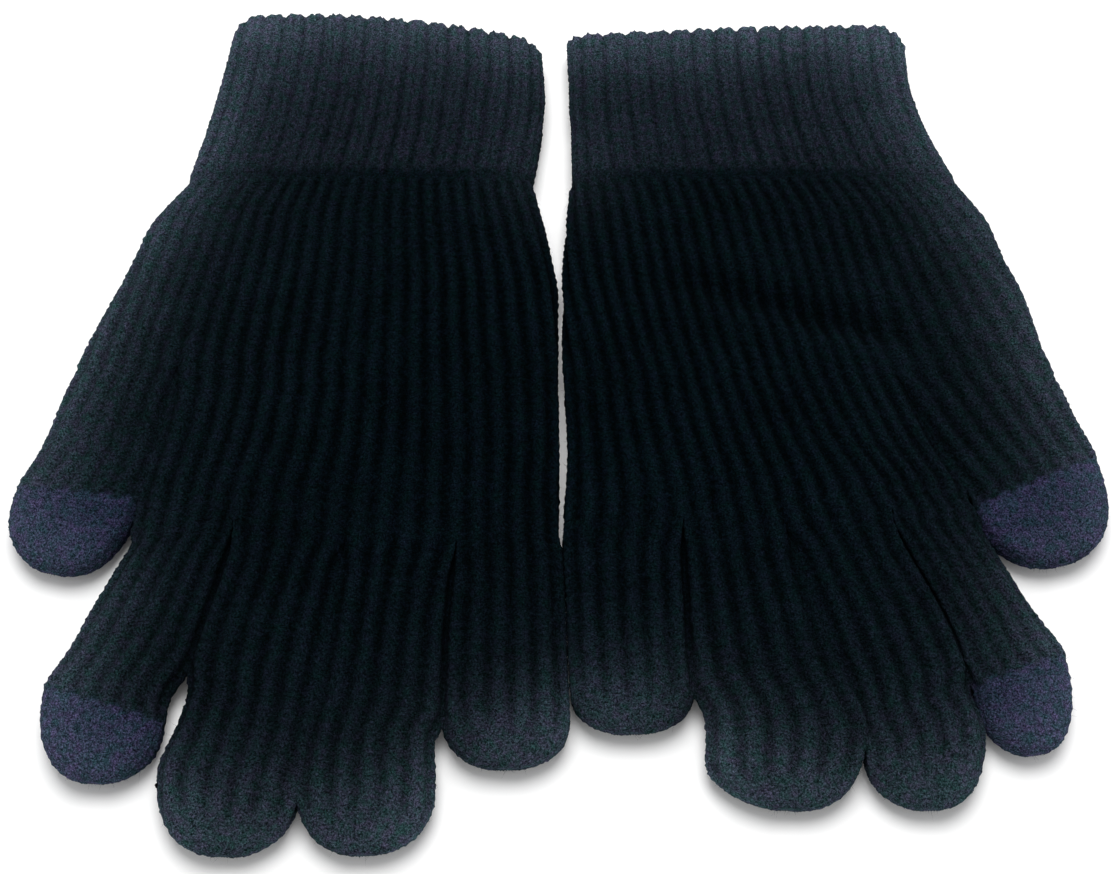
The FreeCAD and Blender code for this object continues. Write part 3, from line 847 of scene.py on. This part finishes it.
def grown_fibres(points, normals, values, first):
    """Short loose fibres on a surface, most of them on its flanks, each a thin closed spindle."""
    odds = FLANK_FIBRES * (1 - np.abs(normals[:, 2])) ** 1.5 + TOP_FIBRES * (normals[:, 2] > 0)
    odds = odds * (points[:, 2] > 0.8) / 100
    roots = np.flatnonzero(rng.random(len(points)) < odds)
    count = len(roots)
    way = normals[roots] + rng.normal(scale=0.75, size=(count, 3))
    way /= np.linalg.norm(way, axis=1, keepdims=True)
    curl = rng.normal(scale=0.55, size=(count, 3))
    length = rng.uniform(FIBRE_LONG[0], FIBRE_LONG[1], size=count) * rng.uniform(0.4, 1.0, size=count)
    across = np.cross(way, [0.3, 0.5, 0.81])
    across /= np.linalg.norm(across, axis=1, keepdims=True)
    other = np.cross(way, across)
    share = np.linspace(0, 1, FIBRE_POINTS)
    rings = []
    ring_normals = []
    for part in share:
        centre = points[roots] - 0.15 * normals[roots] + way * (length * part)[:, None]
        centre = centre + curl * (length * part ** 2)[:, None]
        radius = FIBRE_THIN * (1.15 - part)
        for corner in (0, 1, 2):
            turn = 2 * math.pi * corner / 3
            out = across * math.cos(turn) + other * math.sin(turn)
            rings.append(centre + out * radius)
            ring_normals.append(out)
    fibre_points = np.stack(rings, axis=1)
    fibre_points[..., 2] = np.maximum(fibre_points[..., 2], 0.04)
    fibre_normals = np.stack(ring_normals, axis=1)
    size = 3 * FIBRE_POINTS
    start = first + np.arange(count)[:, None] * size
    quads, ends = [], []
    for step in range(FIBRE_POINTS - 1):
        for corner in (0, 1, 2):
            a, b = 3 * step + corner, 3 * step + (corner + 1) % 3
            quads.append(start + np.array([a, b, b + 3, a + 3]))
    ends.append(start + np.array([2, 1, 0]))
    ends.append(start + size - 3 + np.array([0, 1, 2]))
    faces = [np.concatenate(quads), np.concatenate(ends)]
    fibre_values = {key: np.repeat(value[roots], size) for key, value in values.items()}
    # the loose fibres take the crest's colour, clear of the painted groove shade
    fibre_values["relief"] = np.full(count * size, RIB_HIGH)
    return fibre_points.reshape(-1, 3), fibre_normals.reshape(-1, 3), fibre_values, faces


def tube_piece(name, grid, first, last, sign, material, closed=False, inner_step=INNER_STEP):
    """Rows first to last of a grid as a closed shell, knitted outside, lined inside, with loose fibres."""
    columns = grid.columns
    surface = grid.surface[first:last + 1]
    rows = len(surface)
    stop = last
    if closed:
        height = grid.points[..., 2].max(axis=1) - grid.points[..., 2].min(axis=1)
        stop = np.flatnonzero(height > 2 * WALL + 1.0)[-1]
    picked = np.unique(np.append(np.arange(first, stop, inner_step), stop))
    lining = grid.lining[picked]
    points = [surface.reshape(-1, 3), lining.reshape(-1, 3)]
    outer_values = {"relief": grid.relief[first:last + 1].ravel(), "touch": grid.touch[first:last + 1].ravel(),
                    "tone": grid.tone[first:last + 1].ravel()}
    # painted shade: the lining is given a value below the deepest groove, so it takes the darkest painted shade
    inner_values = {"relief": -0.5 - 0.5 * grid.relief[picked].ravel(), "touch": grid.touch[picked].ravel(),
                    "tone": grid.tone[picked].ravel()}
    inner_normals = -surface_normals(lining)
    normals = [grid.normals[first:last + 1].reshape(-1, 3), inner_normals.reshape(-1, 3)]
    inner = rows * columns
    end_outer, end_inner = (rows - 1) * columns, inner + (len(picked) - 1) * columns
    faces = [ring_faces(rows, columns, 0, False), ring_faces(len(picked), columns, inner, True),
             rim_faces(0, inner, columns, False)]
    fibres = grown_fibres(points[0], normals[0], outer_values, 0)
    values = {key: [outer_values[key], inner_values[key]] for key in outer_values}
    if closed:
        middle = inner + len(picked) * columns
        points += [surface[-1].mean(axis=0)[None], lining[-1].mean(axis=0)[None]]
        for key in values:
            values[key].append(np.full(2, values[key][0][-1]))
        ahead = surface[-1].mean(axis=0) - surface[-6].mean(axis=0)
        ahead /= np.linalg.norm(ahead)
        normals += [ahead[None], -ahead[None]]
        faces += [fan_faces(end_outer, middle, columns, False), fan_faces(end_inner, middle + 1, columns, True)]
    else:
        faces.append(rim_faces(end_outer, end_inner, columns, True))
    before = sum(len(group) for group in points)
    points.append(fibres[0])
    normals.append(fibres[1])
    for key in values:
        values[key] = np.concatenate(values[key] + [fibres[2][key]])
    faces += [group + before for group in fibres[3]]
    return make_mesh(name, np.concatenate(points), faces, sign, material, values, np.concatenate(normals))


# ---- materials -------------------------------------------------------------------------------

class Nodes:
    """Adds and joins shader nodes of one material."""

    def __init__(self, name):
        self.material = bpy.data.materials.new(name)
        self.material.use_nodes = True
        self.tree = self.material.node_tree
        self.tree.nodes.clear()

    def add(self, kind, inputs=None, **settings):
        node = self.tree.nodes.new(kind)
        for key, value in settings.items():
            setattr(node, key, value)
        for key, value in (inputs or {}).items():
            if isinstance(value, bpy.types.NodeSocket):
                self.tree.links.new(value, node.inputs[key])
            else:
                node.inputs[key].default_value = value
        return node

    def noise(self, place, scale, detail=2.0, rough=0.6):
        """Noise with scale features per millimetre."""
        inputs = {"Vector": place, "Scale": scale, "Detail": detail, "Roughness": rough}
        return self.add("ShaderNodeTexNoise", inputs).outputs["Fac"]

    def spread(self, value, low, high, to_low, to_high):
        inputs = {"Value": value, "From Min": low, "From Max": high, "To Min": to_low, "To Max": to_high}
        return self.add("ShaderNodeMapRange", inputs).outputs["Result"]

    def sum(self, operation, first, second):
        return self.add("ShaderNodeMath", {0: first, 1: second}, operation=operation).outputs[0]

    def mixed(self, share, first, second):
        node = self.add("ShaderNodeMix", data_type="RGBA")
        for socket, value in ((node.inputs["Factor"], share), (node.inputs["A"], first), (node.inputs["B"], second)):
            matching = [i for i in node.inputs if i.name == socket.name and i.type in ("RGBA", "VALUE")]
            target = matching[0] if socket.name == "Factor" else [i for i in matching if i.type == "RGBA"][0]
            if isinstance(value, bpy.types.NodeSocket):
                self.tree.links.new(value, target)
            else:
                target.default_value = value
        return [o for o in node.outputs if o.type == "RGBA"][0]


def yarn_material(name, seed):
    """Brushed knitting yarn salted with fibres, with painted shade darkening its grooves and painted glare paling it.

    relief is the height of the knit, which sets the painted groove shade; touch says how much of the conductive
    yarn there is, tone how far the cuff's paler colours have taken over, and the last value how much glare is painted
    on."""
    nodes = Nodes(name)
    place = nodes.add("ShaderNodeAttribute", attribute_name="rest").outputs["Vector"]
    relief, touch, tone, painted_glare = (
        nodes.add("ShaderNodeAttribute", attribute_name=key).outputs["Fac"] for key in YARN_VALUES)
    shifted = nodes.add("ShaderNodeVectorMath", {0: place, 1: (seed, seed, seed)}, operation="ADD").outputs[0]
    patches = nodes.noise(shifted, 0.045, 3.0)
    clumps = nodes.noise(shifted, 0.9, 2.0, 0.6)
    grain = nodes.noise(shifted, 2.2, 2.0, 0.75)
    fibres = nodes.noise(shifted, 3.6, 1.0, 0.6)
    # painted shade: the colour runs from a painted dark in the knit's grooves to the yarn's own colour on the crests,
    # with clumps of noise mixed in
    height = nodes.spread(relief, -RIB_HIGH, RIB_HIGH, 0.0, 1.0)
    height = nodes.sum("ADD", height, nodes.spread(clumps, 0.3, 0.7, -0.3, 0.3))
    height = nodes.spread(height, -0.1, 1.1, 0.0, 1.0)
    hand = nodes.mixed(height, HAND_GROOVE_SHADE, HAND_CREST)
    cuff = nodes.mixed(height, CUFF_GROOVE_SHADE, CUFF_CREST)
    touching = nodes.mixed(height, TOUCH_GROOVE_SHADE, TOUCH_CREST)
    base = nodes.mixed(touch, nodes.mixed(tone, hand, cuff), touching)
    # painted light: the glare's colour, scaled by how much glare a point gets and more on crests, is added to the
    # yarn's colour
    glare_colour = nodes.mixed(touch, GLARE_COLOUR, TOUCH_GLARE_COLOUR)
    lit = nodes.add("ShaderNodeVectorMath", {0: glare_colour}, operation="SCALE")
    nodes.tree.links.new(nodes.sum("MULTIPLY", painted_glare, nodes.spread(height, 0.0, 1.0, 0.62, 1.15)), lit.inputs["Scale"])
    base = nodes.add("ShaderNodeVectorMath", {0: base, 1: lit.outputs[0]}, operation="ADD").outputs[0]
    speck = nodes.sum("MULTIPLY", nodes.spread(grain, 0.34, 0.66, 0.2, 1.75), nodes.spread(fibres, 0.35, 0.7, 0.55, 1.65))
    speck = nodes.sum("MULTIPLY", speck, nodes.spread(patches, 0.3, 0.7, 0.85, 1.15))
    hue = nodes.spread(nodes.noise(shifted, 0.45, 3.0, 0.7), 0.35, 0.65, 0.0, 1.0)
    cast = nodes.mixed(hue, GREEN_CAST, VIOLET_CAST)
    base = nodes.add("ShaderNodeVectorMath", {0: base, 1: cast}, operation="MULTIPLY").outputs[0]
    final = nodes.add("ShaderNodeVectorMath", {0: base}, operation="SCALE")
    nodes.tree.links.new(speck, final.inputs["Scale"])
    rough = nodes.spread(grain, 0.3, 0.7, 0.85, 1.0)
    bumps = nodes.sum("ADD", grain, nodes.sum("MULTIPLY", fibres, 0.6))
    bump = nodes.add("ShaderNodeBump", {"Height": bumps, "Strength": 0.8, "Distance": FLUFF * MM})
    shader = nodes.add("ShaderNodeBsdfPrincipled", {
        "Base Color": final.outputs[0], "Roughness": rough, "Normal": bump.outputs[0],
        "Specular IOR Level": 0.01, "Sheen Weight": 0.0015, "Sheen Roughness": 0.7,
        "Sheen Tint": (0.6, 0.75, 1.0, 1)})
    output = nodes.add("ShaderNodeOutputMaterial")
    nodes.tree.links.new(shader.outputs[0], output.inputs["Surface"])
    return nodes.material


YARN_VALUES = ("relief", "touch", "tone", "painted_glare")
# the first colour of each pair is the yarn with painted groove shade, the second its colour on the crests
HAND_GROOVE_SHADE, HAND_CREST = (0.0000, 0.0006, 0.0009, 1), (0.0013, 0.0041, 0.0058, 1)
# the cuff's colours are paler than the hand's: part of this is painted light, as the cuff lies nearer the light
CUFF_GROOVE_SHADE, CUFF_CREST = (0.0016, 0.0028, 0.0042, 1), (0.0064, 0.0096, 0.0138, 1)
TOUCH_GROOVE_SHADE, TOUCH_CREST = (0.0060, 0.0080, 0.0175, 1), (0.0150, 0.0185, 0.038, 1)
# colours of the painted glare, on the body yarn and on the conductive yarn
GLARE_COLOUR, TOUCH_GLARE_COLOUR = (0.048, 0.068, 0.086, 1), (0.041, 0.054, 0.074, 1)
GREEN_CAST, VIOLET_CAST = (0.66, 1.10, 0.88, 1), (1.32, 0.92, 1.20, 1)
FLUFF = 0.3
SLOPE_GLARE = 0.8                            # how much more glare is painted where the knit turns away from straight up: a painted rim light
hand_yarn = yarn_material("Brushed body yarn", 0.0)
touch_yarn = yarn_material("Brushed conductive yarn", 31.0)
elastic_yarn = yarn_material("Covered elastic", 67.0)


# ---- pieces ----------------------------------------------------------------------------------

def bend_zone(joint_name):
    """The Y of a joint, in millimetres."""
    joint = next(j for j in frame["joints"] if j["name"] == joint_name)
    return joint["pos_m"][1] / MM


def blend_along(piece, first, second, from_y, to_y):
    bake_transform(piece)


def dress_glove(glove):
    """Turns one glove's grids into pieces that stand for the CAD nodes; the palm's pieces, the cuff's edge, the knots
    and some tips are attached to bodies, the other pieces stay where they are made.
    """
    side, sign = glove.side, glove.sign
    for part in ("palm_upper", "palm_lower"):
        grid = glove.grids[part]
        piece = tube_piece(f"{side}_{part}_knit", grid, 0, grid.rows - 1, sign, hand_yarn)
        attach(piece, f"{side}_hand")
        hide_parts(f"{side}_hand")
    dress_cuff(side, glove)
    for finger in ("thumb",) + LONG_FINGERS:
        dress_finger(side, finger, glove.grids[finger], sign)


def dress_cuff(side, glove):
    grid = glove.grids["cuff"]
    hinge = bend_zone(f"{side}_wrist_bend")
    bodies = f"{side}_hand", f"{side}_cuff"
    piece = tube_piece(f"{side}_cuff_knit", grid, 0, grid.rows - 1, glove.sign, hand_yarn,
                       inner_step=CUFF_INNER_STEP)
    blend_along(piece, *bodies, hinge, hinge + BEND_LONG)
    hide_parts(f"{side}_cuff")
    rings = make_elastics(side, glove)
    blend_along(rings, *bodies, hinge, hinge + BEND_LONG)
    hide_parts(f"{side}_cuff_elastic")
    edge = make_welt(side, glove)
    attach(edge, f"{side}_cuff")
    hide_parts(f"{side}_cuff_edge")


def make_elastics(side, glove):
    """The covered elastic threads laid into the rib, seen as thin rings inside the cuff."""
    grid = glove.grids["cuff"]
    rows = np.linspace(6, grid.rows - 10, ELASTIC_RINGS).astype(int)
    columns = grid.columns
    points, normals, faces = [], [], []
    inward = -surface_normals(grid.lining)
    for row in rows:
        along = grid.lining[row + 1] - grid.lining[row]
        along /= np.linalg.norm(along, axis=1, keepdims=True)
        weave = 0.12 * np.cos(2 * math.pi * grid.repeat)[:, None]
        centre = grid.lining[row] + inward[row] * (0.1 + weave)
        ring, outs = [], []
        for corner in range(ELASTIC_SIDES):
            turn = 2 * math.pi * corner / ELASTIC_SIDES
            out = inward[row] * math.cos(turn) + along * math.sin(turn)
            ring.append(centre + out * ELASTIC_THICK / 2)
            outs.append(out)
        first = len(points) * ELASTIC_SIDES * columns
        ring.append(ring[0])
        band = ring_faces(ELASTIC_SIDES + 1, columns, 0, False)
        band = np.where(band >= ELASTIC_SIDES * columns, band - ELASTIC_SIDES * columns, band)
        points.append(np.concatenate(ring[:-1]))
        normals.append(np.concatenate(outs))
        faces.append(band + first)
    points, normals = np.concatenate(points), np.concatenate(normals)
    values = {"relief": np.zeros(len(points)), "tone": np.ones(len(points))}
    return make_mesh(f"{side}_cuff_elastic_threads", points, faces, glove.sign, elastic_yarn, values, normals)


def make_welt(side, glove):
    """The cast-on edge round the cuff's mouth: the knit's surface rolled over to the lining."""
    grid = glove.grids["cuff"]
    columns = grid.columns
    mouth, lining = grid.surface[0], grid.lining[0]
    out = grid.surface[0] - grid.surface[3]
    out /= np.linalg.norm(out, axis=1, keepdims=True)
    phase = grid.repeat % 1
    scallop = (0.62 + 0.38 * np.abs(np.sin(math.pi * phase)) ** 0.7)[:, None]
    rows = []
    for angle in np.linspace(0, math.pi, WELT_ROWS):
        across = (1 - math.cos(angle)) / 2
        rows.append(mouth * (1 - across) + lining * across + out * scallop * WELT_LONG * math.sin(angle) ** 0.7)
    outer = np.array(rows)[::-1]
    outer[1:-1] += GRAIN * rng.normal(size=outer[1:-1].shape)
    normals = surface_normals(outer)
    normals[-1] = grid.normals[0]
    faces = [ring_faces(WELT_ROWS, columns, 0, False),
             rim_faces(0, (WELT_ROWS - 1) * columns, columns, False)]
    values = {"relief": np.tile(grid.relief[0], WELT_ROWS), "tone": np.ones(WELT_ROWS * columns)}
    points, normals = outer.reshape(-1, 3), normals.reshape(-1, 3)
    fibres = grown_fibres(points, normals, values, len(points))
    values = {key: np.concatenate([values[key], fibres[2][key]]) for key in values}
    return make_mesh(f"{side}_cuff_edge_knit", np.concatenate([points, fibres[0]]), faces + fibres[3],
                     glove.sign, hand_yarn, values, np.concatenate([normals, fibres[1]]))


def make_knot(node, body):
    """A darned-in yarn end: the yarn tied in a small tight knot."""
    low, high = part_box(node)
    centre = np.array((low + high) / 2) / MM
    finger_low, finger_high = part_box(body)
    centre[0] += KNOT_IN * np.sign((finger_low.x + finger_high.x) / 2 / MM - centre[0])
    size = np.array(high - low) / MM
    turn = np.linspace(0, 2 * math.pi, KNOT_POINTS, endpoint=False)
    knot = np.stack([np.sin(turn) + 2 * np.sin(2 * turn), np.cos(turn) - 2 * np.cos(2 * turn), -np.sin(3 * turn)], axis=1)
    knot = knot / 6 * min(size[0], size[1], 2.2) * KNOT_SHARE
    line = knot + centre
    after, before = np.roll(line, -1, axis=0), np.roll(line, 1, axis=0)
    along = after - before
    along /= np.linalg.norm(along, axis=1, keepdims=True)
    side_way = np.cross(along, [0.1, 0.2, 0.97])
    side_way /= np.linalg.norm(side_way, axis=1, keepdims=True)
    up_way = np.cross(along, side_way)
    rings, outs = [], []
    for corner in range(KNOT_SIDES):
        angle = 2 * math.pi * corner / KNOT_SIDES
        out = side_way * math.cos(angle) + up_way * math.sin(angle)
        twist = 1 + 0.12 * np.cos(14 * turn + 2 * angle)[:, None]
        rings.append(line + out * KNOT_YARN / 2 * twist)
        outs.append(out)
    points, normals = np.concatenate(rings), np.concatenate(outs)
    count = KNOT_SIDES * KNOT_POINTS
    band = ring_faces(KNOT_SIDES + 1, KNOT_POINTS, 0, True)
    band = np.where(band >= count, band - count, band)
    values = {"relief": np.full(count, 0.2)}
    fibres = grown_fibres(points, normals, values, count)
    values = {key: np.concatenate([values[key], fibres[2][key]]) for key in values}
    piece = make_mesh(f"{node}_knot", np.concatenate([points, fibres[0]]), [band] + fibres[3], 1,
                      hand_yarn, values, np.concatenate([normals, fibres[1]]))
    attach(piece, body)
    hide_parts(node)


def dress_finger(side, finger, grid, sign):
    """A finger's lower and upper tube and its tip, cut between its base and its knuckle."""
    hand, lower, upper = f"{side}_hand", f"{side}_{finger}_lower", f"{side}_{finger}_upper"
    base = bend_zone(f"{side}_{finger}_base_bend")
    bend = bend_zone(f"{side}_{finger}_knuckle_bend")
    start = min(base, grid.surface[0, :, 1].min()) - 0.2
    stop = start - BEND_LONG
    centre = grid.points[..., 1].mean(axis=1)
    cut = int(np.argmin(np.abs(centre - (min(stop, base - 1) + bend) / 2)))
    first = tube_piece(f"{lower}_knit", grid, 0, cut, sign, hand_yarn)
    blend_along(first, hand, lower, start, stop)
    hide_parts(lower)
    second = tube_piece(f"{upper}_knit", grid, cut, grid.cap_row, sign, hand_yarn)
    blend_along(second, lower, upper, bend, bend - BEND_LONG)
    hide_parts(upper)
    is_touch = finger in TOUCH_FINGERS
    material = touch_yarn if is_touch else hand_yarn
    tip = tube_piece(f"{side}_{finger}_tip_knit", grid, grid.cap_row, grid.rows - 1, sign, material, closed=True)
    if grid.surface[grid.cap_row, :, 1].max() > bend - BEND_LONG:
        blend_along(tip, lower, upper, bend, bend - BEND_LONG)
    else:
        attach(tip, upper)
    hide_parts(f"{side}_{finger}_tip")
    knot = f"{side}_{finger}_yarn_end"
    if knot in frame["nodes"]:
        make_knot(knot, upper)


gloves = [Glove(side) for side in SIDES]
for glove in gloves:
    for grid in glove.grids.values():
        finish_grid(grid, glove.sign, palm_folds if glove.side == "right" else None)
plan = glare_plan(gloves)
for glove in gloves:
    dress_glove(glove)


# ---- floor, light and camera -----------------------------------------------------------------

def make_floor():
    mesh = bpy.data.meshes.new("floor")
    size = 12.0
    corners = [(-size, -size, 0), (size, -size, 0), (size, size, 0), (-size, size, 0)]
    mesh.from_pydata(corners, [], [(0, 1, 2, 3)])
    nodes = Nodes("Pale floor")
    shader = nodes.add("ShaderNodeBsdfDiffuse", {"Color": (0.9, 0.9, 0.9, 1)})
    output = nodes.add("ShaderNodeOutputMaterial")
    nodes.tree.links.new(shader.outputs[0], output.inputs["Surface"])
    mesh.materials.append(nodes.material)
    floor = bpy.data.objects.new("floor", mesh)
    bpy.context.scene.collection.objects.link(floor)


def make_light(name, place, target, size, power):
    light = bpy.data.lights.new(name, "AREA")
    light.shape = "DISK"
    light.size = size
    light.energy = power
    lamp = bpy.data.objects.new(name, light)
    lamp.location = place
    way = Vector(target) - Vector(place)
    lamp.rotation_euler = way.to_track_quat("-Z", "Y").to_euler()
    bpy.context.scene.collection.objects.link(lamp)


def make_surroundings():
    make_floor()
    world = bpy.data.worlds.new("Studio")
    world.use_nodes = True
    background = world.node_tree.nodes["Background"]
    background.inputs["Color"].default_value = (1, 1, 1, 1)
    background.inputs["Strength"].default_value = 0.62
    bpy.context.scene.world = world
    make_light("Overhead softbox", (0.0, 0.35, 0.9), (0, 0, 0), 0.7, 9.0)
    bpy.context.scene.view_settings.view_transform = "Standard"


def make_camera():
    """The photograph's view: 64 degrees above the surface, 0.4 m from a point between the gloves."""
    data = bpy.data.cameras.new("Camera")
    data.sensor_width = 36.0
    data.lens = CAMERA_LENS
    camera = bpy.data.objects.new("Camera", data)
    tilt = math.radians(CAMERA_ELEVATION)
    target = Vector((0, CAMERA_AIM * MM, 0))
    back = Vector((0, -math.cos(tilt), math.sin(tilt)))
    camera.location = target + back * CAMERA_AWAY * MM
    camera.rotation_euler = (math.pi / 2 - tilt, 0, 0)
    bpy.context.scene.collection.objects.link(camera)
    bpy.context.scene.camera = camera


make_surroundings()
make_camera()
